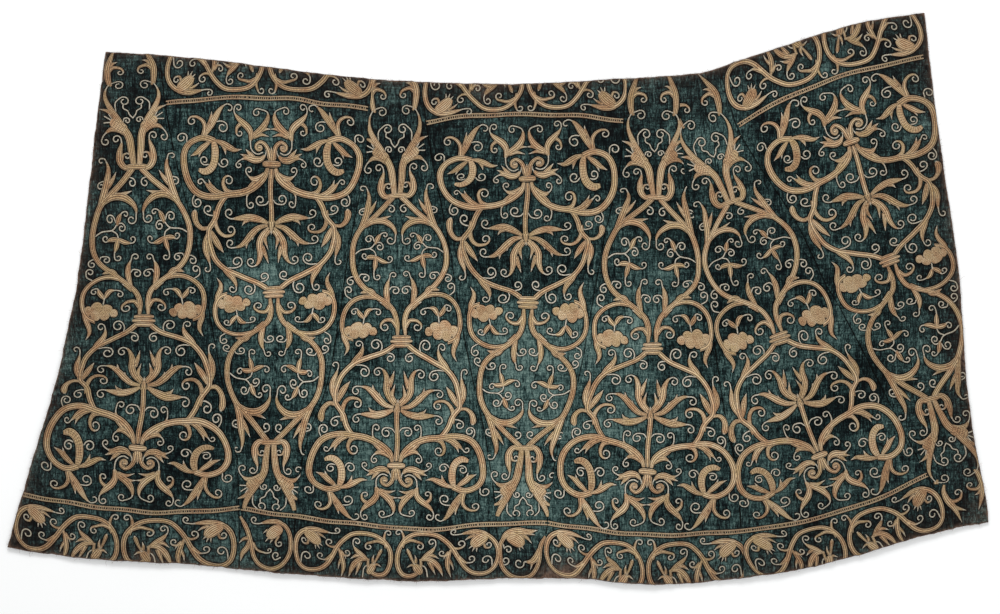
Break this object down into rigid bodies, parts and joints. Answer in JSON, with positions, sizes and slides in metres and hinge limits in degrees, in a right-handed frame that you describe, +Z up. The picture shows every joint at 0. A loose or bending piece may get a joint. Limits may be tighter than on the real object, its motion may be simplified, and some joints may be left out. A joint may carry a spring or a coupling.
{
  "type": "embroidered velvet panel",
  "caption": "Flat pieced panel of dark green silk velvet with curving raw edges, covered in couched gold scrolls, leaves and borders between narrow guard bands.",
  "frame": {"origin": "middle of the panel's bounding rectangle, on the flat underside that rests on the surface", "axes": "+X along the panel's length, +Y towards the edge with the shorter gore ends, +Z up out of the pile"},
  "size_m": [1.96, 1.1421, 0.0037],
  "materials": {
    "velvet": "matte worn silk pile",
    "gold_thread": "satin metal-wrapped thread",
    "guard_thread": "satin pale thread"
  },
  "bodies": {
    "root": {"gore_1_border_1": "gold_thread", "gore_1_border_2": "gold_thread", "gore_1_border_3": "gold_thread", "gore_1_border_4": "gold_thread", "gore_1_gold": "gold_thread", "gore_1_velvet": "velvet", "gore_2_border_1": "gold_thread", "gore_2_border_2": "gold_thread", "gore_2_border_3": "gold_thread", "gore_2_border_4": "gold_thread", "gore_2_gold": "gold_thread", "gore_2_velvet": "velvet", "gore_3_border_1": "gold_thread", "gore_3_border_2": "gold_thread", "gore_3_gold": "gold_thread", "gore_3_velvet": "velvet", "gore_4_border_1": "gold_thread", "gore_4_border_2": "gold_thread", "gore_4_border_3": "gold_thread", "gore_4_border_4": "gold_thread", "gore_4_gold": "gold_thread", "gore_4_velvet": "velvet", "gore_5_border_1": "gold_thread", "gore_5_border_2": "gold_thread", "gore_5_border_3": "gold_thread", "gore_5_border_4": "gold_thread", "gore_5_border_5": "gold_thread", "gore_5_gold": "gold_thread", "gore_5_velvet": "velvet", "gore_6_border_1": "gold_thread", "gore_6_border_2": "gold_thread", "gore_6_border_3": "gold_thread", "gore_6_border_4": "gold_thread", "gore_6_gold": "gold_thread", "gore_6_velvet": "velvet", "gore_7_border_1": "gold_thread", "gore_7_border_2": "gold_thread", "gore_7_border_3": "gold_thread", "gore_7_border_4": "gold_thread", "gore_7_border_5": "gold_thread", "gore_7_gold": "gold_thread", "gore_7_velvet": "velvet", "guard_bottom_1": "guard_thread", "guard_bottom_2": "guard_thread", "guard_bottom_3": "guard_thread", "guard_top_1": "guard_thread", "guard_top_2": "guard_thread", "guard_top_3": "guard_thread", "spray_1": "gold_thread", "spray_2": "gold_thread"}
  },
  "joints": []
}
